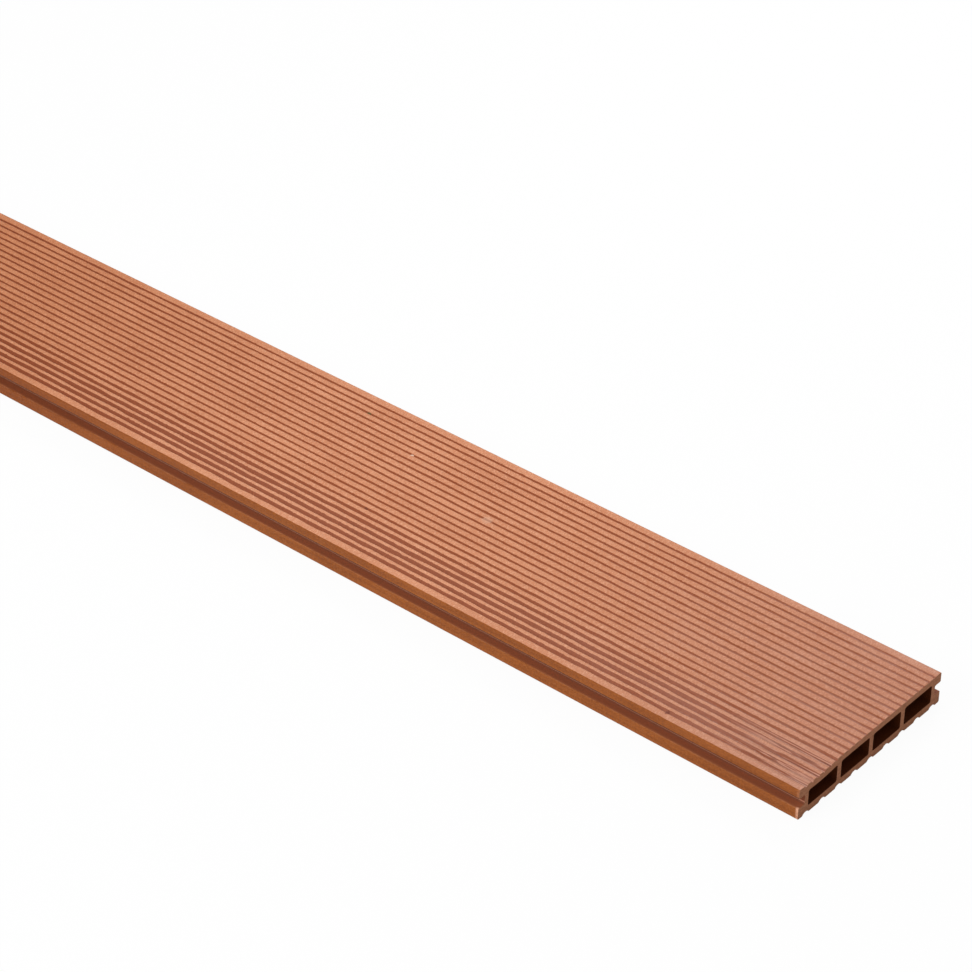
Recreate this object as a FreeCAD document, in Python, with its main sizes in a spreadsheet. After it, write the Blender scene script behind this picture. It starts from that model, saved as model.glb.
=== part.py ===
import FreeCAD, Part
import math
import os
import Sketcher
from FreeCAD import Vector

# A hollow wood-plastic decking board, extruded in one piece and sawn to length.
#
# X runs along the board, Y across it and Z up. The origin is the middle of the underside.
# The side at -Y is the one whose neighbouring chamber has the sagging ceiling; at the +X end
# the top over that chamber dips at the saw cut.

# Driving dimensions, in millimetres where the note names no other unit
SIZES = (
    ("board_length", 2400, "stock length, saw cut to saw cut"),
    ("board_width", 146, "side to side"),
    ("board_thickness", 23, "underside flats to sanded top"),
    ("top_round", 0.8, "radius of the two long top edges"),
    ("bottom_round", 1.2, "radius of the two long bottom edges"),
    ("slot_depth", 6.0, "clip slot, from the side inwards"),
    ("slot_height", 7.0, "clip slot, opening between its lips"),
    ("lower_lip", 8.8, "height of the lip under the clip slot"),
    ("lip_round", 0.8, "radius of the lips' outer edges at the slot"),
    ("slot_corner", 0.8, "radius inside the clip slot"),
    ("chamber_count", 4, "number of hollow chambers"),
    ("side_wall", 9.8, "side of the board to the first chamber"),
    ("web", 4.1, "wall between two chambers"),
    ("bottom_wall", 5.3, "underside flats to a chamber's floor"),
    ("top_wall", 4.6, "a chamber's ceiling to the sanded top"),
    ("chamber_corner", 1.2, "radius of a chamber's corners"),
    ("channel_width", 6.6, "arched channel in the underside, at its mouth"),
    ("channel_depth", 1.7, "arched channel in the underside, at its crown"),
    ("groove_pitch", 6.0, "middle of one top groove to the next"),
    ("edge_rib", 7.0, "side of the board to the middle of the first top groove"),
    ("groove_floor", 0.8, "width of a groove's flat floor"),
    ("groove_depth", 0.6, "sanded top to a groove's floor"),
    ("groove_flank", 45, "angle of a groove's sides from upright, in degrees"),
    ("ceiling_drop_outer", 1.4, "drop of the front chamber's ceiling at the side wall"),
    ("ceiling_drop_inner", 0.4, "drop of the front chamber's ceiling at the first web"),
    ("ceiling_bow", 0.7, "sag of the front chamber's ceiling between its corners"),
    ("sag_place", 19, "front side of the board to the deepest of the sagging grooves"),
    ("sag_reach", 36, "half the width over which the grooves sag"),
    ("sag_drop", 0.8, "how much deeper the deepest groove is than the level ones"),
    ("sagging_grooves", 8, "number of grooves that hang down with the wall"),
    ("dip_reach", 21, "half the width of the dip in the top at the sawn end"),
    ("dip_drop", 0.9, "depth of the dip at the saw cut"),
    ("dip_length", 50, "saw cut to the end of the dip, along the board"),
)

doc = FreeCAD.newDocument("HollowDeckingBoard")
sheet = doc.addObject("Spreadsheet::Sheet", "Sizes")
for row, (alias, size, note) in enumerate(SIZES, 1):
    sheet.set(f"A{row}", note)
    sheet.set(f"B{row}", str(size))
    sheet.setAlias(f"B{row}", alias)
doc.recompute()

# Sizes that follow from the driving ones, as expressions of the sheet
HALF_WIDTH = "Sizes.board_width / 2"
TOP = "Sizes.board_thickness"
SLOT_TOP = "(Sizes.lower_lip + Sizes.slot_height)"
CHAMBER_WALLS = "(2 * Sizes.side_wall + (Sizes.chamber_count - 1) * Sizes.web)"
CHAMBER_WIDTH = f"((Sizes.board_width - {CHAMBER_WALLS}) / Sizes.chamber_count)"
CHAMBER_PITCH = f"({CHAMBER_WIDTH} + Sizes.web)"
CEILING = f"({TOP} - Sizes.top_wall)"
GROOVE_STEPS = "round((Sizes.board_width - 2 * Sizes.edge_rib) / Sizes.groove_pitch)"
FIRST_GROOVE = f"(-{GROOVE_STEPS} / 2 * Sizes.groove_pitch)"


def value(expression):
    """The number that an expression of the sheet gives now."""
    return float(sheet.evalExpression(expression))


def circle_radius(half_chord, rise):
    """Expression for the radius of the arc with this half chord and this rise."""
    return f"(({half_chord})^2 + ({rise})^2) / (2 * ({rise}))"


def sag_at(across):
    """Expression for the sag of the grooves at a place across the board: deepest near the front side."""
    return f"Sizes.sag_drop * cos(90deg * {from_deepest(across)} / Sizes.sag_reach)^2"


def dip_at(across):
    """Expression for the depth of the end's dip at the saw cut: an arc across the board."""
    radius = circle_radius("Sizes.dip_reach", "Sizes.dip_drop")
    return f"(Sizes.dip_drop - {radius} + sqrt(({radius})^2 - {from_deepest(across)}^2))"


def from_deepest(across):
    """Expression for how far a place is from the line along which the top wall hangs lowest."""
    return f"({across} + {HALF_WIDTH} - Sizes.sag_place)"


# Drawing the cross-section

def section_sketch(body, name):
    """An empty sketch on the plane across the board: its x is the board's Y, its y is Z."""
    sketch = body.newObject("Sketcher::SketchObject", name)
    across = next(plane for plane in body.Origin.OriginFeatures if plane.Role == "YZ_Plane")
    sketch.AttachmentSupport = (across, [""])
    sketch.MapMode = "FlatFace"
    doc.recompute()
    return sketch


def leaning_sketch(body, name):
    """An empty sketch at the +X saw cut, from the top upwards, that leans by the slope of the end's dip.

    What is cut along it is as deep as drawn at the saw cut and runs out towards the board's middle.
    """
    sketch = section_sketch(body, name)
    sketch.AttachmentOffset = FreeCAD.Placement(Vector(0, 0, 0), FreeCAD.Rotation(Vector(1, 0, 0), 1))
    sketch.setExpression("AttachmentOffset.Base.y", TOP)
    sketch.setExpression("AttachmentOffset.Base.z", "Sizes.board_length / 2")
    sketch.setExpression("AttachmentOffset.Rotation.Angle", "atan(Sizes.dip_drop / Sizes.dip_length)")
    doc.recompute()
    return sketch


def dimension(sketch, name, expression, kind, *where):
    """Add a named dimension to a sketch and bind it to the sheet."""
    number = sketch.addConstraint(Sketcher.Constraint(kind, *where, value(expression)))
    sketch.renameConstraint(number, name)
    sketch.setExpression(f"Constraints.{name}", expression)


def place(sketch, name, geometry, point, across, up):
    """Dimension one point of a sketch from the sketch's origin."""
    dimension(sketch, f"{name}_across", across, "DistanceX", -1, 1, geometry, point)
    dimension(sketch, f"{name}_up", up, "DistanceY", -1, 1, geometry, point)


def outline(sketch, corners):
    """Draw a closed outline, anticlockwise, through corners given as expressions.

    A corner is its place across, its height, the radius that rounds it (None where it is sharp)
    and, for a side that bows inwards on its way to the next corner, that side's radius.
    """
    count = len(corners)
    points = [Vector(value(across), value(up), 0) for across, up, *_ in corners]
    marks = []
    for number, (across, up, *_) in enumerate(corners):
        marks.append(sketch.addGeometry(Part.Point(points[number]), True))
        place(sketch, f"corner_{number}", marks[number], 1, across, up)

    # Where each corner's rounding meets its two sides
    starts = list(points)
    ends = list(points)
    centres = [None] * count
    for number, (_, _, radius, *_) in enumerate(corners):
        if radius is None:
            continue
        back = (points[number - 1] - points[number]).normalize()
        on = (points[(number + 1) % count] - points[number]).normalize()
        half_angle = back.getAngle(on) / 2
        trim = value(radius) / math.tan(half_angle)
        ends[number] = points[number] + back * trim
        starts[number] = points[number] + on * trim
        bisector = (back + on).normalize()
        centres[number] = points[number] + bisector * (value(radius) / math.sin(half_angle))

    sides = []
    for number, (_, _, _, *bow) in enumerate(corners):
        start, end = starts[number], ends[(number + 1) % count]
        if bow:
            chord = end - start
            outwards = Vector(chord.y, -chord.x, 0).normalize()
            rise = math.sqrt(value(bow[0]) ** 2 - (chord.Length / 2) ** 2)
            centre = (start + end) / 2 + outwards * rise
            side = sketch.addGeometry(arc_between(centre, end, start))
            dimension(sketch, f"bow_{number}", bow[0], "Radius", side)
            sides.append((side, 2, 1))
        else:
            side = sketch.addGeometry(Part.LineSegment(start, end))
            sides.append((side, 1, 2))

    for number, (_, _, radius, *_) in enumerate(corners):
        side_in, _, point_in = sides[number - 1]
        side_out, point_out, _ = sides[number]
        if radius is None:
            sketch.addConstraint(Sketcher.Constraint("Coincident", side_in, point_in, marks[number], 1))
            sketch.addConstraint(Sketcher.Constraint("Coincident", side_out, point_out, marks[number], 1))
            continue
        turn = (points[number] - points[number - 1]).cross(points[(number + 1) % count] - points[number]).z
        if turn > 0:
            rounding = sketch.addGeometry(arc_between(centres[number], ends[number], starts[number]))
            first, last = 1, 2
        else:
            rounding = sketch.addGeometry(arc_between(centres[number], starts[number], ends[number]))
            first, last = 2, 1
        sketch.addConstraint(Sketcher.Constraint("PointOnObject", marks[number], 1, side_in))
        sketch.addConstraint(Sketcher.Constraint("PointOnObject", marks[number], 1, side_out))
        sketch.addConstraint(Sketcher.Constraint("Tangent", side_in, point_in, rounding, first))
        sketch.addConstraint(Sketcher.Constraint("Tangent", rounding, last, side_out, point_out))
        dimension(sketch, f"round_{number}", radius, "Radius", rounding)


def arc_between(centre, start, end):
    """The anticlockwise arc about a centre from one point to another."""
    circle = Part.Circle(centre, Vector(0, 0, 1), (start - centre).Length)
    first = math.atan2(start.y - centre.y, start.x - centre.x)
    last = math.atan2(end.y - centre.y, end.x - centre.x)
    if last <= first:
        last += 2 * math.pi
    return Part.ArcOfCircle(circle, first, last)


def circle(sketch, across, up, radius):
    """Draw a circle whose centre and radius are expressions."""
    centre = Vector(value(across), value(up), 0)
    round_cut = sketch.addGeometry(Part.Circle(centre, Vector(0, 0, 1), value(radius)))
    place(sketch, "centre", round_cut, 3, across, up)
    dimension(sketch, "radius", radius, "Radius", round_cut)


# Making the board from its drawings

def cut_along(body, name, sketch):
    """Cut a drawn shape out of the board over its whole length, and check that it takes material away."""
    before = body.Shape.Volume
    cut = body.newObject("PartDesign::Pocket", name)
    cut.Profile = sketch
    cut.Type = "ThroughAll"
    cut.SideType = "Symmetric"
    doc.recompute()
    if not cut.Shape.Volume < before:
        raise ValueError(f"{name} cuts nothing")
    return cut


def repeat_across(body, name, cut, pitch, count):
    """Repeat a cut across the board, towards the back side."""
    before = body.Shape.Volume
    pattern = body.newObject("PartDesign::LinearPattern", name)
    pattern.Originals = [cut]
    pattern.Direction = (cut.Profile[0], ["H_Axis"])
    pattern.Mode = "Spacing"
    pattern.setExpression("Offset", pitch)
    pattern.setExpression("Occurrences", count)
    body.Tip = pattern
    doc.recompute()
    if not pattern.Shape.Volume < before:
        raise ValueError(f"{name} cuts nothing")


def blank(body):
    """The solid bar with its clip slots, as wide, thick and long as the board."""
    half = HALF_WIDTH
    slot_wall = f"({half} - Sizes.slot_depth)"
    back_side = [
        (half, "0", "Sizes.bottom_round"),
        (half, "Sizes.lower_lip", "Sizes.lip_round"),
        (slot_wall, "Sizes.lower_lip", "Sizes.slot_corner"),
        (slot_wall, SLOT_TOP, "Sizes.slot_corner"),
        (half, SLOT_TOP, "Sizes.lip_round"),
        (half, TOP, "Sizes.top_round"),
    ]
    front_side = [(f"-{across}", up, radius) for across, up, radius in reversed(back_side)]
    sketch = section_sketch(body, "OuterOutline")
    outline(sketch, back_side + front_side)
    bar = body.newObject("PartDesign::Pad", "Bar")
    bar.Profile = sketch
    bar.SideType = "Symmetric"
    bar.setExpression("Length", "Sizes.board_length")
    doc.recompute()


def chambers(body):
    """The level chambers, side by side from the back side, and the front one under the sagging wall."""
    first_left = f"(-{HALF_WIDTH} + Sizes.side_wall)"
    first_right = f"({first_left} + {CHAMBER_WIDTH})"
    second_left = f"({first_left} + {CHAMBER_PITCH})"
    second_right = f"({second_left} + {CHAMBER_WIDTH})"
    corner = "Sizes.chamber_corner"

    sketch = section_sketch(body, "ChamberOutline")
    outline(sketch, [
        (second_left, "Sizes.bottom_wall", corner),
        (second_right, "Sizes.bottom_wall", corner),
        (second_right, CEILING, corner),
        (second_left, CEILING, corner),
    ])
    chamber = cut_along(body, "Chamber", sketch)
    repeat_across(body, "Chambers", chamber, CHAMBER_PITCH, "Sizes.chamber_count - 1")

    sketch = section_sketch(body, "FrontChamberOutline")
    ceiling_radius = circle_radius(f"{CHAMBER_WIDTH} / 2", "Sizes.ceiling_bow")
    outline(sketch, [
        (first_left, "Sizes.bottom_wall", corner),
        (first_right, "Sizes.bottom_wall", corner),
        (first_right, f"{CEILING} - Sizes.ceiling_drop_inner", corner, ceiling_radius),
        (first_left, f"{CEILING} - Sizes.ceiling_drop_outer", corner),
    ])
    cut_along(body, "FrontChamber", sketch)


def underside_channels(body):
    """Arched channels in the underside: one below each web, each side wall and each chamber's middle."""
    radius = circle_radius("Sizes.channel_width / 2", "Sizes.channel_depth")
    sketch = section_sketch(body, "ChannelOutline")
    circle(sketch, f"-Sizes.chamber_count * {CHAMBER_PITCH} / 2", f"Sizes.channel_depth - {radius}", radius)
    channel = cut_along(body, "Channel", sketch)
    repeat_across(body, "Channels", channel, f"{CHAMBER_PITCH} / 2", "2 * Sizes.chamber_count + 1")


def end_dip(body):
    """The dip in the top over the front chamber at the +X end: an arc across the board, one flat to a rib."""
    to_first = f"{HALF_WIDTH} + {FIRST_GROOVE}"
    first = math.floor(value(f"(Sizes.sag_place - Sizes.dip_reach - ({to_first})) / Sizes.groove_pitch"))
    last = math.ceil(value(f"(Sizes.sag_place + Sizes.dip_reach - ({to_first})) / Sizes.groove_pitch"))
    middles = [f"({FIRST_GROOVE} + ({number}) * Sizes.groove_pitch)" for number in range(first, last + 1)]
    arc = [(middle, f"-{dip_at(middle)}", None) for middle in middles]
    above = [(middles[-1], "Sizes.dip_drop", None), (middles[0], "Sizes.dip_drop", None)]
    sketch = leaning_sketch(body, "DipOutline")
    outline(sketch, arc + above)
    cut_along(body, "EndDip", sketch)


def groove(body, name, sketch, middle, top, depth):
    """One groove of the top: a narrow flat floor between sides that lean outwards."""
    rise = "Sizes.groove_depth / 2"
    mouth = f"(Sizes.groove_floor / 2 + ({depth} + {rise}) * tan(Sizes.groove_flank * 1deg))"
    outline(sketch, [
        (f"{middle} - Sizes.groove_floor / 2", f"{top} - ({depth})", None),
        (f"{middle} + Sizes.groove_floor / 2", f"{top} - ({depth})", None),
        (f"{middle} + {mouth}", f"{top} + {rise}", None),
        (f"{middle} - {mouth}", f"{top} + {rise}", None),
    ])
    return cut_along(body, name, sketch)


def top_grooves(body):
    """The grooves between the ribs of the top: the front ones hang down with the wall, the rest are level."""
    sagging = int(value("Sizes.sagging_grooves"))
    for number in range(sagging):
        middle = f"({FIRST_GROOVE} + {number} * Sizes.groove_pitch)"
        name = f"SaggingGroove{number + 1}"
        depth = f"Sizes.groove_depth + {sag_at(middle)}"
        groove(body, name, section_sketch(body, f"{name}Outline"), middle, TOP, depth)
        if abs(value(from_deepest(middle))) < value("Sizes.dip_reach"):
            end_depth = f"{depth} + {dip_at(middle)}"
            groove(body, f"{name}End", leaning_sketch(body, f"{name}EndOutline"), middle, "0", end_depth)

    middle = f"({FIRST_GROOVE} + {sagging} * Sizes.groove_pitch)"
    sketch = section_sketch(body, "GrooveOutline")
    level = groove(body, "Groove", sketch, middle, TOP, "Sizes.groove_depth")
    repeat_across(body, "Grooves", level, "Sizes.groove_pitch", f"{GROOVE_STEPS} + 1 - {sagging}")


def decking_board():
    """The whole board as one solid."""
    body = doc.addObject("PartDesign::Body", "DeckingBoard")
    body.Label = "decking_board"
    body.Placement = FreeCAD.Placement(Vector(0, 0, 0), FreeCAD.Rotation())
    blank(body)
    chambers(body)
    underside_channels(body)
    end_dip(body)
    top_grooves(body)
    return body


board = decking_board()
doc.recompute()

# Nothing is written unless every feature worked and the board is one sound solid
for item in doc.Objects:
    if "Invalid" in item.State or "Error" in item.State:
        raise ValueError(f"{item.Name} did not build: {item.State}")
if board.Shape.isNull() or not board.Shape.isValid() or len(board.Shape.Solids) != 1:
    raise ValueError(f"{board.Label} is not one sound solid")

os.makedirs("parts", exist_ok=True)
board.Shape.exportStep(f"parts/{board.Label}.step")
box = board.Shape.optimalBoundingBox(False, False)
print(board.Label, "size", round(box.XLength, 3), round(box.YLength, 3), round(box.ZLength, 3))
print("section", round(board.Shape.Volume / value("Sizes.board_length"), 1), "mm2")
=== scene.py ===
import math

import bmesh
import bpy
from mathutils import Matrix, Vector


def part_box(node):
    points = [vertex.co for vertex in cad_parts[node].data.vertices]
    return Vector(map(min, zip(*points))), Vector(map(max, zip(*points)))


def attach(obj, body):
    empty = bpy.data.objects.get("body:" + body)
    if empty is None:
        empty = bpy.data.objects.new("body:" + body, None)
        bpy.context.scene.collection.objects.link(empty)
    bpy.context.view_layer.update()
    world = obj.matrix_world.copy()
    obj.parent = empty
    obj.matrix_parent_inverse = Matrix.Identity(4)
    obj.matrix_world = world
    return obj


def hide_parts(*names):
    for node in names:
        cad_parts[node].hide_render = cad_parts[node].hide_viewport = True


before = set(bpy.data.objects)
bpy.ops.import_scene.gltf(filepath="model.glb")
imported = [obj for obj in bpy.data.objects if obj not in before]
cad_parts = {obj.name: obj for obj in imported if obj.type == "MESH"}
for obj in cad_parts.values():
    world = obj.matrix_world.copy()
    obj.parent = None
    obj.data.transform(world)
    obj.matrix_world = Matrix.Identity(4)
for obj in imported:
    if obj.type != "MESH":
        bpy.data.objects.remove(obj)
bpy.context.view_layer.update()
low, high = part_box("decking_board")

# The die: wood flour and plastic are pushed hot through it as one hollow bar. Its outline is drawn
# flat, with the board's width along X and its thickness along Y: clip slots in both sides, arched
# channels in the underside, and four chambers, of which the front one's ceiling sagged while hot.

half_board = high.x
half_width = high.y
top = high.z
slot_depth, slot_height = 0.006, 0.007
lower_lip = 0.0088
slot_top = lower_lip + slot_height
side_wall, web, bottom_wall, top_wall = 0.0098, 0.0041, 0.0053, 0.0046
chamber_count = 4
chamber_width = (2 * half_width - 2 * side_wall - (chamber_count - 1) * web) / chamber_count
chamber_pitch = chamber_width + web
channel_width, channel_depth = 0.0066, 0.0017
groove_count, groove_pitch = 23, 0.006
groove_floor, groove_depth = 0.0008, 0.0006
half_field = groove_count * groove_pitch / 2
mouth = groove_floor / 2 + groove_depth
sag_place, sag_reach, sag_drop = 0.019, 0.036, 0.0008
dip_reach, dip_drop, dip_length = 0.021, 0.0009, 0.050
ceiling_drops = (0.0014, 0.0004)
ceiling_bow = 0.0007

# The radius of each round, and the number of straight steps in it
lip_round, bottom_round, chamber_corner, groove_round = 0.0008, 0.0012, 0.0012, 0.0002
outer_steps, inner_steps, groove_steps, channel_steps, bow_steps = 4, 3, 1, 3, 8
# A point on the flat beside each round keeps the round's shading off the flat
beside_lip, beside_mouth, beside_bottom = 0.0015, 0.002, 0.0006


def rounded(corners):
    """Points of a line through rounded corners, each given as (across, up, radius, steps)."""
    points = []
    for number, (across, up, radius, steps) in enumerate(corners):
        corner = Vector((across, up))
        if not radius:
            points.append(corner)
            continue
        back = (Vector(corners[number - 1][:2]) - corner).normalized()
        on = (Vector(corners[(number + 1) % len(corners)][:2]) - corner).normalized()
        half_angle = back.angle(on) / 2
        centre = corner + (back + on).normalized() * radius / math.sin(half_angle)
        start = corner + back * radius / math.tan(half_angle) - centre
        turn = math.pi - 2 * half_angle
        if back.x * on.y - back.y * on.x > 0:
            turn = -turn
        for step in range(steps + 1):
            points.append(centre + Matrix.Rotation(turn * step / steps, 2) @ start)
    return points


def outer_line():
    """The outline from the top's back end, down the back, along the underside and up the front."""
    slot_wall = half_width - slot_depth
    side = [
        (half_field, top, 0, 0),
        (half_width - beside_lip, top, 0, 0),
        (half_width, top, lip_round, outer_steps),
        (half_width, top - beside_lip, 0, 0),
        (half_width, slot_top + beside_lip, 0, 0),
        (half_width, slot_top, lip_round, inner_steps),
        (half_width - beside_mouth, slot_top, 0, 0),
        (slot_wall, slot_top, lip_round, inner_steps),
        (slot_wall, lower_lip, lip_round, inner_steps),
        (half_width - beside_mouth, lower_lip, 0, 0),
        (half_width, lower_lip, lip_round, inner_steps),
        (half_width, lower_lip - beside_lip, 0, 0),
        (half_width, bottom_round + beside_bottom, 0, 0),
        (half_width, 0, bottom_round, outer_steps),
    ]
    underside = []
    radius = ((channel_width / 2) ** 2 + channel_depth ** 2) / (2 * channel_depth)
    reach = math.asin(channel_width / 2 / radius)
    for number in range(2 * chamber_count, -1, -1):
        middle = (number - chamber_count) * chamber_pitch / 2
        for step in range(2 * channel_steps + 1):
            angle = reach * (1 - step / channel_steps)
            up = channel_depth - radius + radius * math.cos(angle)
            underside.append((middle + radius * math.sin(angle), up, 0, 0))
    mirrored = [(-across, up, radius, steps) for across, up, radius, steps in reversed(side)]
    return rounded(side + underside + mirrored)


def chamber_loop(number):
    """The outline of one chamber, the front one with its sagging, bowed ceiling."""
    left = -half_width + side_wall + number * chamber_pitch
    right = left + chamber_width
    ceiling = [top - top_wall - (drop if number == 0 else 0) for drop in ceiling_drops]
    corners = [(left, bottom_wall, chamber_corner, inner_steps),
               (right, bottom_wall, chamber_corner, inner_steps),
               (right, ceiling[1], chamber_corner, inner_steps)]
    if number == 0:
        for step in range(1, bow_steps):
            share = step / bow_steps
            bow = ceiling_bow * 4 * share * (1 - share)
            corners.append((right - chamber_width * share,
                            ceiling[1] + (ceiling[0] - ceiling[1]) * share - bow, 0, 0))
    corners.append((left, ceiling[0], chamber_corner, inner_steps))
    return rounded(corners)


def placed(name, data):
    """A new object of the scene that shows this data."""
    made = bpy.data.objects.new(name, data)
    bpy.context.scene.collection.objects.link(made)
    return made


def drawing(name, lines):
    """An object of edges only, in the XY plane, from lines given as (points, closed, chamber)."""
    points, edges, in_chamber = [], [], []
    for line, closed, chamber in lines:
        first = len(points)
        points += [(point.x, point.y, 0) for point in line]
        in_chamber += [chamber] * len(line)
        edges += [(first + step, first + step + 1) for step in range(len(line) - 1)]
        if closed:
            edges.append((len(points) - 1, first))
    mesh = bpy.data.meshes.new(name)
    mesh.from_pydata(points, edges, [])
    marked = mesh.attributes.new("chamber", "BOOLEAN", "POINT")
    marked.data.foreach_set("value", in_chamber)
    return placed(name, mesh)


die = drawing("die_outline", [(outer_line(), False, False)]
              + [(chamber_loop(number), True, True) for number in range(chamber_count)])
groove = drawing("groove_outline", [(rounded([
    (-groove_pitch / 2, 0, 0, 0),
    (-mouth, 0, groove_round, groove_steps),
    (-groove_floor / 2, -groove_depth, groove_round, groove_steps),
    (groove_floor / 2, -groove_depth, groove_round, groove_steps),
    (mouth, 0, groove_round, groove_steps),
    (groove_pitch / 2, 0, 0, 0),
]), False, False)])


# The extruded bar: one groove is repeated across the top, and over the sagging chamber the grooves
# hang down and gape. The whole outline is drawn out to the board's length, and the top dips at the
# near end, where the wall gave way at the saw.

class Wire:
    """A socket of a node tree. Arithmetic on it adds Math nodes, and add() makes any other node."""

    def __init__(self, socket):
        self.socket = socket
        self.tree = socket.id_data

    @staticmethod
    def add(tree, kind, settings=None, inputs=None, output=0):
        """A new node's output: its settings come first, then the values or links of its sockets."""
        node = tree.nodes.new(kind)
        for name, setting in (settings or {}).items():
            setattr(node, name, setting)
        for name, given in (inputs or {}).items():
            several = given if isinstance(given, list) else [given]
            for one in several:
                if isinstance(one, Wire):
                    tree.links.new(one.socket, node.inputs[name])
                else:
                    node.inputs[name].default_value = one
        return Wire(node.outputs[output])

    def math(self, operation, *others):
        inputs = dict(enumerate((self, *others)))
        return Wire.add(self.tree, "ShaderNodeMath", {"operation": operation}, inputs)

    def __add__(self, other):
        return self.math("ADD", other)

    def __sub__(self, other):
        return self.math("SUBTRACT", other)

    def __mul__(self, other):
        return self.math("MULTIPLY", other)

    def __truediv__(self, other):
        return self.math("DIVIDE", other)

    def __gt__(self, other):
        return self.math("GREATER_THAN", other)

    def __lt__(self, other):
        return self.math("LESS_THAN", other)

    def __rsub__(self, other):
        return Wire.add(self.tree, "ShaderNodeMath", {"operation": "SUBTRACT"}, {0: other, 1: self})

    __radd__ = __add__
    __rmul__ = __mul__

    def __abs__(self):
        return self.math("ABSOLUTE")

    def ramp(self, start, end):
        """0 at start, 1 at end, eased in between."""
        return Wire.add(self.tree, "ShaderNodeMapRange", {"interpolation_type": "SMOOTHSTEP"},
                        {"Value": self, "From Min": start, "From Max": end})


def split(vector):
    """The X, Y and Z of a vector wire."""
    separate = Wire.add(vector.tree, "ShaderNodeSeparateXYZ", None, {0: vector}).socket.node
    return [Wire(output) for output in separate.outputs]


def joined(tree, x, y, z):
    return Wire.add(tree, "ShaderNodeCombineXYZ", None, {0: x, 1: y, 2: z})


def sag_wire(across):
    """How much deeper a groove is here than a level one: the wall hung down before sanding."""
    from_deepest = abs(across + (half_width - sag_place)) / sag_reach
    angle = from_deepest.math("MINIMUM", 1.0) * (math.pi / 2)
    return angle.math("COSINE").math("POWER", 2.0) * sag_drop


def dip_wire(along, across):
    """How far the top lies low near the saw cut, over the front chamber."""
    from_lowest = (across + (half_width - sag_place)) / dip_reach
    depth = (1 - from_lowest * from_lowest) * dip_drop
    return (depth - (half_board - along) * (dip_drop / dip_length)).math("MAXIMUM", 0.0)


tree = bpy.data.node_groups.new("extruded_board", "GeometryNodeTree")
tree.interface.new_socket("Geometry", in_out="OUTPUT", socket_type="NodeSocketGeometry")
tree.interface.new_socket("Geometry", in_out="INPUT", socket_type="NodeSocketGeometry")
board_inputs = {
    "Groove": ("NodeSocketObject", groove),
    "Groove Count": ("NodeSocketInt", groove_count),
    "Groove Pitch": ("NodeSocketFloat", groove_pitch),
    "Length": ("NodeSocketFloat", high.x - low.x),
    "Outer Stations": ("NodeSocketInt", 280),
    "Chamber Stations": ("NodeSocketInt", 24),
    "Edge Break": ("NodeSocketFloat", 0.0002),
    "Rib Wobble": ("NodeSocketFloat", 0.0032),
    "Wobble Length": ("NodeSocketFloat", 0.016),
    "Seed": ("NodeSocketFloat", 3.7),
    "Material": ("NodeSocketMaterial", None),
}
for name, (kind, _) in board_inputs.items():
    tree.interface.new_socket(name, in_out="INPUT", socket_type=kind)
group_input = tree.nodes.new("NodeGroupInput")
given = {socket.name: Wire(socket) for socket in group_input.outputs if socket.name}
field_edge = given["Groove Count"] * given["Groove Pitch"] / 2
weld = 0.00001


def node(kind, settings=None, inputs=None, output=0):
    return Wire.add(tree, kind, settings, inputs, output)


# The top line: one groove after the other, joined to the outline
first_groove = (given["Groove Count"] - 1) * given["Groove Pitch"] * -0.5
places = node("GeometryNodeMeshLine", None, {
    "Count": given["Groove Count"],
    "Start Location": joined(tree, first_groove, top, 0.0),
    "Offset": joined(tree, given["Groove Pitch"], 0.0, 0.0)})
one_groove = node("GeometryNodeObjectInfo", None, {"Object": given["Groove"]}, "Geometry")
top_line = node("GeometryNodeInstanceOnPoints", None, {"Points": places, "Instance": one_groove})
top_line = node("GeometryNodeRealizeInstances", None, {"Geometry": top_line})
section = node("GeometryNodeJoinGeometry", None, {"Geometry": [given["Geometry"], top_line]})
section = node("GeometryNodeMergeByDistance", None, {"Geometry": section, "Distance": weld})

# Where the wall sags, the groove floors go down and the mouths open, each groove as a whole
section_zone = top - 0.0016
off_the_edge = 0.0001
mouth_reach = groove_pitch / 3
chamber = node("GeometryNodeInputNamedAttribute", {"data_type": "BOOLEAN"}, {"Name": "chamber"})
across, up, _ = split(node("GeometryNodeInputPosition"))
from_groove = across - (across / given["Groove Pitch"]).math("ROUND") * given["Groove Pitch"]
in_field = abs(across) < field_edge - off_the_edge
depth_share = ((top - up) / groove_depth).math("MINIMUM", 1.0) * in_field
sag = sag_wire(across - from_groove)
widening = (abs(from_groove) < mouth_reach) * in_field * (1 - depth_share) * sag
section = node("GeometryNodeSetPosition", None, {
    "Geometry": section, "Selection": (up > section_zone) * (1 - chamber),
    "Offset": joined(tree, from_groove.math("SIGN") * widening, depth_share * sag * -1, 0.0)})
chamber_lines = node("GeometryNodeSeparateGeometry", None,
                     {"Geometry": section, "Selection": chamber})
outer_lines = Wire(chamber_lines.socket.node.outputs["Inverted"])


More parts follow.
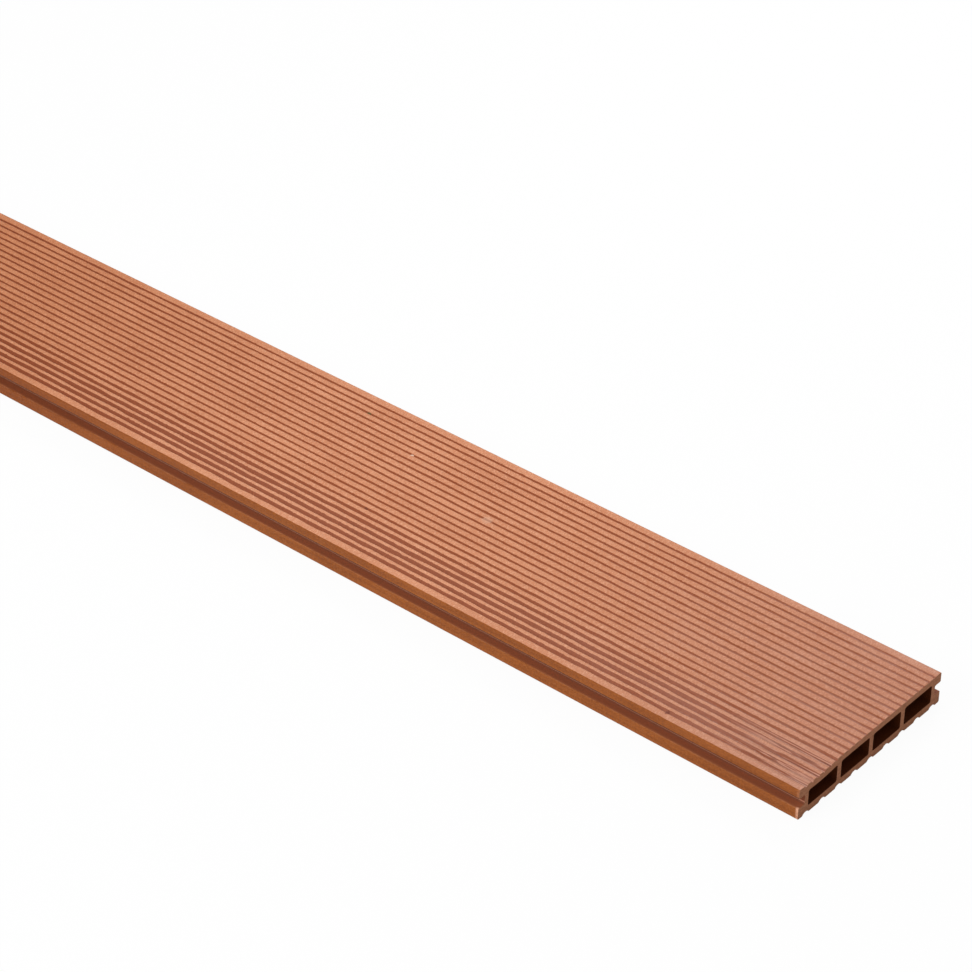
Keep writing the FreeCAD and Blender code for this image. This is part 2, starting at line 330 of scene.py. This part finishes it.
def walls(outline, stations):
    """The outline drawn out along the board, with stations at the saw cuts and just inside them."""
    line = node("GeometryNodeMeshLine", None, {"Count": stations})
    index = node("GeometryNodeInputIndex")
    short_steps = 2
    steps = stations - 1 - short_steps
    share = (index - 1) / steps
    inner = share.math("MINIMUM", 1.0).math("MAXIMUM", 0.0)
    along = (inner - 0.5) * (given["Length"] - 2 * given["Edge Break"])
    along = along + (share - inner) * steps * given["Edge Break"]
    line = node("GeometryNodeSetPosition", None,
                {"Geometry": line, "Position": joined(tree, along, 0.0, 0.0)})
    path = node("GeometryNodeMeshToCurve", None, {"Mesh": line})
    turned = node("GeometryNodeTransform", None,
                  {"Geometry": outline, "Rotation": (0, 0, math.pi)})
    profile = node("GeometryNodeMeshToCurve", None, {"Mesh": turned})
    drawn = node("GeometryNodeCurveToMesh", None, {"Curve": path, "Profile Curve": profile})
    return node("GeometryNodeFlipFaces", None, {"Mesh": drawn})


outer = walls(outer_lines, given["Outer Stations"])
inner = walls(chamber_lines, given["Chamber Stations"])

# The saw cuts: the same outlines, filled in between, at both ends
cut = node("GeometryNodeFillCurve", {"mode": "TRIANGLES"},
           {"Curve": node("GeometryNodeMeshToCurve", None, {"Mesh": section})})
upright = (math.pi / 2, 0, math.pi / 2)
half_length = given["Length"] / 2
ends = [node("GeometryNodeTransform", None, {"Geometry": cut, "Rotation": upright,
                                             "Translation": joined(tree, place, 0.0, 0.0)})
        for place in (half_length, half_length * -1)]
bar = node("GeometryNodeJoinGeometry", None, {"Geometry": [outer, inner, *ends]})
bar = node("GeometryNodeMergeByDistance", None, {"Geometry": bar, "Distance": weld})

# The edges of the saw cuts are broken
along, across, up = split(node("GeometryNodeInputPosition"))
_, normal_across, normal_up = split(node("GeometryNodeInputNormal"))
outwards = node("ShaderNodeVectorMath", {"operation": "NORMALIZE"},
                {0: joined(tree, 0.0, normal_across, normal_up)})
inset = node("ShaderNodeVectorMath", {"operation": "SCALE"},
             {0: outwards, "Scale": given["Edge Break"] * -1})
at_end = abs(along) > half_length - given["Edge Break"] / 2
bar = node("GeometryNodeSetPosition", None,
           {"Geometry": bar, "Selection": at_end, "Offset": inset})

# The sides of the grooves wander, half as much where the wall is level. At the saw the top dips,
# and the dip fades out below the grooves.
groove_step, side_step = 7.3, 2.1
level_wander = 0.5
wander_zone = top - 0.0026
still_edge = 0.0005
flank_reach = groove_pitch * 0.4
dip_fades = (-0.0022, -0.0015)
groove_number = (across / given["Groove Pitch"]).math("ROUND")
from_groove = across - groove_number * given["Groove Pitch"]
flank = groove_number * groove_step + from_groove.math("SIGN") * side_step
wander = node("ShaderNodeTexNoise", {"noise_dimensions": "3D"}, {
    "Vector": joined(tree, along / given["Wobble Length"], flank, given["Seed"]),
    "Scale": 1.0, "Detail": 2.0, "Roughness": 0.6})
in_grooves = (up > wander_zone) * (abs(across) < field_edge - still_edge)
on_flank = abs(from_groove) < flank_reach
freedom = level_wander + sag_wire(across) * ((1 - level_wander) / sag_drop)
sideways = (wander - 0.5) * given["Rib Wobble"] * freedom * in_grooves * on_flank
downwards = dip_wire(along, across) * (up - top).ramp(*dip_fades) * -1
bar = node("GeometryNodeSetPosition", None,
           {"Geometry": bar, "Offset": joined(tree, 0.0, sideways, downwards)})
bar = node("GeometryNodeRealizeInstances", None, {"Geometry": bar})
bar = node("GeometryNodeSetMaterial", None, {"Geometry": bar, "Material": given["Material"]})
group_output = tree.nodes.new("NodeGroupOutput")
tree.links.new(bar.socket, group_output.inputs[0])

# The composite's finish: wood flour in brown plastic. The skin keeps the smooth dark finish of the
# die, the rib crests are sanded to a pale matt finish with fine marks across the board, and the saw
# cuts show the bare inside, a duller brown.

composite = bpy.data.materials.new("wood_plastic")
composite.use_nodes = True
shader_tree = composite.node_tree
shader = shader_tree.nodes["Principled BSDF"]


def paint(kind, settings=None, inputs=None, output=0):
    return Wire.add(shader_tree, kind, settings, inputs, output)


x, y, z = split(paint("ShaderNodeTexCoord", output="Object"))


def grain(length, width, height, seed, detail=2.0, roughness=0.5):
    """Noise from 0 to 1 whose patches are about this long, wide and high."""
    stretched = joined(shader_tree, x / length + seed, y / width, z / height)
    return paint("ShaderNodeTexNoise", None, {
        "Vector": stretched, "Scale": 1.0, "Detail": detail, "Roughness": roughness}, "Fac")


def mixed(share, first, second, way="MIX"):
    """A colour between two, by share, or the first one multiplied by the second, by share."""
    share_socket, first_socket, second_socket, result = 0, 6, 7, 2
    return paint("ShaderNodeMix", {"data_type": "RGBA", "blend_type": way},
                 {share_socket: share, first_socket: first, second_socket: second}, result)


def linear(red, green, blue):
    """A screen colour, 0 to 255, in the shader's own units, by the standard screen curve."""
    channels = []
    for level in (red / 255, green / 255, blue / 255):
        channels.append(level / 12.92 if level < 0.04045 else ((level + 0.055) / 1.055) ** 2.4)
    return (*channels, 1.0)


skin_light = linear(171, 97, 43)
skin_dark = linear(131, 68, 26)
groove_light = linear(164, 86, 50)
groove_dark = linear(138, 67, 35)
slot_red = linear(159, 92, 62)
# The slot's back wall: a darker colour of painted shade, and a pale one of painted highlight
slot_wall_shade = linear(134, 77, 52)
slot_highlight = linear(204, 140, 114)
# A dark colour of painted shadow, for under the upper lip
lip_shadow_dark = linear(52, 24, 12)
sanded_light = linear(228, 157, 119)
sanded_dark = linear(206, 133, 96)
stipple_pale = linear(242, 184, 151)
sawn_light = linear(172, 117, 87)
sawn_dark = linear(142, 93, 66)
# Painted sheen: a pale lilac veil for the grooves
groove_sheen_pale = linear(198, 158, 146)
# Lines of painted sheen and painted shade near the saw cut
sheen_line_pale = linear(216, 162, 138)
shade_line_dark = linear(120, 64, 44)
# Painted shade inside the chambers
chamber_shade = linear(80, 37, 15)
worn = linear(232, 172, 140)
# Tints of painted shade towards the far end
skin_far_shade_tint = (0.92, 0.84, 0.72, 1.0)
far_shade_tint = (0.84, 0.76, 0.66, 1.0)
# A tint of painted shade and sheen near the ends
end_shade_sheen_tint = (0.82, 0.83, 0.93, 1.0)

# Where each finish lies, from 0 to 1. A ramp's two numbers are the distances, in metres, at which
# the finish starts and at which it is full.
hair = 0.0002
ragged = (grain(0.003, 0.0015, 0.01, seed=1.3, detail=3.0) - 0.5) * 0.002
from_groove = abs(y - (y / groove_pitch).math("ROUND") * groove_pitch)
rib = (from_groove - (sag_wire(y) + mouth) + ragged).ramp(-0.0003, -0.0001)
edge_rib = (abs(y) - half_field).ramp(-hair, 0.0)
near_crest = (top - z - dip_wire(x, y) + ragged * 0.1).ramp(0.00014, 0.00004)
sanded = near_crest * rib.math("MAXIMUM", edge_rib)
on_top = (z - top).ramp(-0.0032, -0.0028) * (abs(y) - half_width).ramp(-0.0006, -0.0012)
grooved = on_top * (1 - sanded)
sawn = (abs(x) - (half_board - 0.00012)).ramp(0.0, 0.00004)
hollow = (z > bottom_wall - hair) * (z < top - top_wall + hair)
hollow = hollow * (abs(y) < half_width - side_wall + hair)
slot = (z - lower_lip).ramp(-0.0001, 0.0) * (z - slot_top).ramp(0.0001, 0.0)
slot = slot * (half_width - abs(y)).ramp(hair, 0.0008)
slot = slot * (abs(y) - (half_width - slot_depth)).ramp(-hair, 0.0)
# The slot's back wall, which takes painted shade, and a band on it that takes a line of painted
# highlight
slot_wall = slot * (half_width - slot_depth - abs(y)).ramp(-0.0009, -0.0004)
slot_highlight_line = (z - lower_lip).ramp(0.0009, 0.0011) * (z - lower_lip).ramp(0.0021, 0.0018)

# The grains: fine marks of the sander across the board, long streaks, cloudy patches, wood flour
hatch = grain(0.00055, 0.002, 0.01, seed=7.1, detail=1.0, roughness=0.6).ramp(0.3, 0.7)
streaks = grain(0.4, 0.003, 0.003, seed=4.9, detail=4.0)
mottle = grain(0.05, 0.02, 0.012, seed=2.2, detail=3.0)
flour = grain(0.0012, 0.0006, 0.0006, seed=9.4)
specks = grain(0.0005, 0.0008, 0.0009, seed=6.6, detail=1.0)
stipple = (specks * 0.7 + hatch * 0.3).ramp(0.5, 0.7)
saw_marks = grain(0.01, 0.004, 0.0005, seed=5.5, detail=3.0)
# Patches for the painted sheen in the grooves near the ends
groove_sheen_patches = grain(0.03, 0.004, 0.004, seed=7.7).ramp(0.35, 0.65)

# Painted shade along the board: it darkens towards its far end, and near both ends the crests are
# painted darker and greyer and the grooves paler, as painted shade and sheen
far_end_shade = (x + mottle * 0.1).ramp(0.85, 0.42)
end_shade_and_sheen = (abs(x) - half_board + mottle * 0.2).ramp(-0.2, 0.15)

# The skin, with its grooves and its slots
skin = mixed((streaks * 0.35 + flour * 0.45 + mottle * 0.2).ramp(0.33, 0.67), skin_dark, skin_light)
# Painted shade towards the far end
skin = mixed(far_end_shade, skin, skin_far_shade_tint, "MULTIPLY")
skin = mixed(grooved * 0.9, skin, mixed(hatch * 0.5 + flour * 0.5, groove_dark, groove_light))
# Painted sheen: the grooves paler near the ends of the board
skin = mixed(grooved * end_shade_and_sheen * (flour * 0.12 + groove_sheen_patches * 0.16), skin, groove_sheen_pale)
# Painted sheen: the grooves over the sagging wall paler, between the far-end shade and the ends
front_groove_sheen = grooved * (1 - far_end_shade) * (1 - end_shade_and_sheen) * sag_wire(y) * (0.07 / sag_drop)
skin = mixed(front_groove_sheen, skin, groove_sheen_pale)
skin = mixed(slot, skin, slot_red)
# Painted shade on the slot's back wall, with a pale line of painted highlight along it
skin = mixed(slot_wall, skin, mixed(slot_highlight_line * 0.9, slot_wall_shade, slot_highlight))

# The sanded crests
sanded_share = (hatch * 0.3 + flour * 0.2 + mottle * 0.5).ramp(0.25, 0.75)
bared = mixed(sanded_share, sanded_dark, sanded_light)
bared = mixed(stipple * 0.38 + sag_wire(y) * (0.14 / sag_drop) + 0.03, bared, stipple_pale)
# Painted shade and sheen: the crests darker and greyer near the ends
bared = mixed(end_shade_and_sheen, bared, end_shade_sheen_tint, "MULTIPLY")
colour = mixed(sanded, skin, bared)
# Painted shade towards the far end, over all of the colour so far
colour = mixed(far_end_shade, colour, far_shade_tint, "MULTIPLY")

# Where the wall gave way at the saw, fine pale lines of painted sheen and dark lines of painted
# shade run along the ribs and grooves
sheen_lines = grain(0.05, 0.0007, 0.0009, seed=3.3, detail=1.0).ramp(0.5, 0.6)
shade_lines = grain(0.04, 0.0007, 0.0009, seed=8.1, detail=1.0).ramp(0.52, 0.62)
painted_line_zone = (half_board - x).ramp(0.085, 0.025)
painted_line_zone = painted_line_zone * abs(y + (half_width - sag_place)).ramp(0.019, 0.012)
painted_line_zone = painted_line_zone * (1 - sanded * 0.4) * (z - top).ramp(-0.0042, -0.0038)
colour = mixed(painted_line_zone * sheen_lines * 0.75, colour, sheen_line_pale)
colour = mixed(painted_line_zone * shade_lines * 0.65, colour, shade_line_dark)

# Handling has worn the corners of the saw cut and the long arrises of the lips, and a dark line of
# painted shadow lies on the downward round under the upper lip
wear = grain(0.012, 0.01, 0.004, seed=8.8, detail=4.0, roughness=0.65).ramp(0.3, 0.6)
on_side = (abs(y) - half_width).ramp(-0.0009, -0.0003)
close_to_side = (abs(y) - half_width).ramp(-0.0014, -0.0008)
lower_arris = (z - (lower_lip - lip_round)).ramp(0.0, 0.0004) * (z - lower_lip).ramp(0.0003, 0.0)
upper_arris = (z - slot_top).ramp(-0.0003, 0.0) * (z - (slot_top + lip_round)).ramp(0.0, -0.0004)
lip_end = (abs(x) - half_board).ramp(-0.0024, -0.001) * close_to_side
lip_end = lip_end * (1 - 0.85 * (z - lower_lip).ramp(0.0, 0.002)) * (0.2 + 0.8 * wear)
colour = mixed(on_side * (lower_arris + upper_arris) * wear * 0.12 + lip_end, colour, worn)
# Painted shadow on the downward round under the upper lip
lip_shadow_line = close_to_side * (z - slot_top).ramp(0.0013, 0.0009)
lip_shadow_line = lip_shadow_line * (z - slot_top).ramp(-0.0003, -0.0001)
colour = mixed(lip_shadow_line * 0.9, colour, lip_shadow_dark)

# The chambers are painted dark inside, as painted shade, and the saw cuts bare
colour = mixed(hollow, colour, chamber_shade)
cut_face = mixed((saw_marks * 0.5 + flour * 0.5).ramp(0.35, 0.65), sawn_dark, sawn_light)
colour = mixed(sawn, colour, cut_face)

# Marks on the top: place along and across, length and width, colour, strength
mark_zone = top - 0.004
jagged = 2.0
for place, aside, length, width, shade, strength in (
        (0.8864, 0.0119, 0.0045, 0.0040, (236, 190, 162), 0.4),
        (0.7429, 0.0542, 0.0020, 0.0012, (92, 84, 48), 0.8),
        (0.7992, 0.0356, 0.0015, 0.0012, (250, 214, 190), 0.9),
        (0.8177, -0.0298, 0.0020, 0.0014, (120, 62, 40), 0.8),
        (1.0973, -0.0668, 0.0016, 0.0022, (118, 60, 44), 0.8)):
    from_mark = ((x - place) / length).math("POWER", 2.0) + ((y - aside) / width).math("POWER", 2.0)
    spot = (from_mark + (flour - 0.5) * jagged).ramp(1.1, 0.3) * (z > mark_zone)
    colour = mixed(spot * strength, colour, linear(*shade))
shader_tree.links.new(colour.socket, shader.inputs["Base Color"])

# The skin is the smoothest and the saw cuts are the roughest, with a thin polish in the grooves
roughness = 0.4 + sanded * 0.3 + sawn * 0.4 + flour * 0.06
shader_tree.links.new(roughness.socket, shader.inputs["Roughness"])
relief = hatch * (0.4 + sanded * 0.6) + flour * 0.3 + stipple * sanded * 0.5
bump = paint("ShaderNodeBump", None, {"Strength": 0.8, "Distance": 0.0002, "Height": relief})
shader_tree.links.new(bump.socket, shader.inputs["Normal"])
polish = (grooved * 0.25 + sanded * 0.06) * (0.6 + flour * 0.8) * (1 - sawn)
shader_tree.links.new(polish.socket, shader.inputs["Coat Weight"])
shader.inputs["Coat Roughness"].default_value = 0.22
shader.inputs["IOR"].default_value = 1.5
shader.inputs["Specular IOR Level"].default_value = 0.1

# The bar is drawn out, becomes a plain mesh and takes the place of the plain board
board_inputs["Material"] = ("NodeSocketMaterial", composite)
extruder = die.modifiers.new("extrude", "NODES")
extruder.node_group = tree
for socket in tree.interface.items_tree:
    if socket.in_out == "INPUT" and socket.name in board_inputs:
        extruder[socket.identifier] = board_inputs[socket.name][1]
depsgraph = bpy.context.evaluated_depsgraph_get()
drawn_out = bpy.data.meshes.new_from_object(
    die.evaluated_get(depsgraph), preserve_all_data_layers=True, depsgraph=depsgraph)
drawn_out.name = "extruded_board"
shell = bmesh.new()
shell.from_mesh(drawn_out)
bmesh.ops.recalc_face_normals(shell, faces=shell.faces)
shell.to_mesh(drawn_out)
shell.free()
crease = math.radians(32)
drawn_out.shade_smooth()
drawn_out.set_sharp_from_angle(angle=crease)
board = placed("extruded_board", drawn_out)
for helper in (die, groove):
    bpy.data.objects.remove(helper)
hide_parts("decking_board")
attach(board, "root")

# The floor: a plain white sheet under the board. For the camera and in what is glossy or clear it
# is mostly its own light, so that it comes out white, and it keeps the board's soft shadow.

half_sheet = 30.0
sheet_gap = 0.0003
sheet_level = low.z - sheet_gap
floor_mesh = bpy.data.meshes.new("floor")
floor_mesh.from_pydata([
    (-half_sheet, -half_sheet, sheet_level),
    (half_sheet, -half_sheet, sheet_level),
    (half_sheet, half_sheet, sheet_level),
    (-half_sheet, half_sheet, sheet_level),
], [], [(0, 1, 2, 3)])
floor = placed("floor", floor_mesh)
white_sheet = bpy.data.materials.new("white_sheet")
white_sheet.use_nodes = True
sheet_tree = white_sheet.node_tree
sheet = sheet_tree.nodes["Principled BSDF"]
sheet.inputs["Base Color"].default_value = (0.9, 0.9, 0.9, 1)
sheet.inputs["Roughness"].default_value = 0.9
glow = Wire.add(sheet_tree, "ShaderNodeEmission", None, {"Color": (1, 1, 1, 1), "Strength": 1.0})
seen, glossy, through = [Wire.add(sheet_tree, "ShaderNodeLightPath", output=ray) for ray in (
    "Is Camera Ray", "Is Glossy Ray", "Is Transmission Ray")]
own_light = (seen + glossy + through).math("MINIMUM", 1.0) * 0.95
blend = Wire.add(sheet_tree, "ShaderNodeMixShader", None,
                 {0: own_light, 1: Wire(sheet.outputs[0]), 2: glow})
sheet_tree.links.new(blend.socket, sheet_tree.nodes["Material Output"].inputs["Surface"])
floor_mesh.materials.append(white_sheet)

# Light and camera: soft light from all round, a wide lamp low in front, a weak one overhead, and a
# small one behind, whose light glances off the floors of the grooves near the saw cut. The camera
# stands where the photograph was taken from.

world = bpy.data.worlds.new("soft_room")
bpy.context.scene.world = world
world.use_nodes = True
room = world.node_tree.nodes["Background"]
room.inputs["Color"].default_value = (1, 1, 1, 1)
room.inputs["Strength"].default_value = 0.5


def lamp(name, place, target, size, power):
    """A square lamp that faces a target point."""
    light = bpy.data.lights.new(name, "AREA")
    light.shape = "SQUARE"
    light.size = size
    light.energy = power
    made = placed(name, light)
    made.location = place
    made.rotation_euler = (Vector(place) - Vector(target)).to_track_quat("Z", "Y").to_euler()


lamp("front_lamp", (0.27, -2.15, 1.75), (0.9, 0, 0), size=1.4, power=34)
lamp("top_lamp", (0.75, 0.1, 2.4), (0.75, 0, 0), size=1.2, power=8)
lamp("back_lamp", (0.6, 1.0, 0.97), (1.1, 0, 0), size=0.35, power=4.5)

near_corner = Vector((high.x, low.y, low.z))
azimuth = math.radians(40.933)
elevation = math.radians(34.942)
distance, corner_right, corner_down = 1.81154, 0.181957, 0.195442
back = Vector((math.sin(azimuth) * math.cos(elevation),
               -math.cos(azimuth) * math.cos(elevation),
               math.sin(elevation)))
right = Vector((math.cos(azimuth), math.sin(azimuth), 0))
upward = back.cross(right)
camera_data = bpy.data.cameras.new("camera")
camera_data.lens = 114.864
camera_data.clip_end = 100
camera = placed("camera", camera_data)
camera.matrix_world = Matrix((right, upward, back)).transposed().to_4x4()
camera.location = near_corner + back * distance - right * corner_right + upward * corner_down
bpy.context.scene.camera = camera
bpy.context.scene.view_settings.view_transform = "Standard"
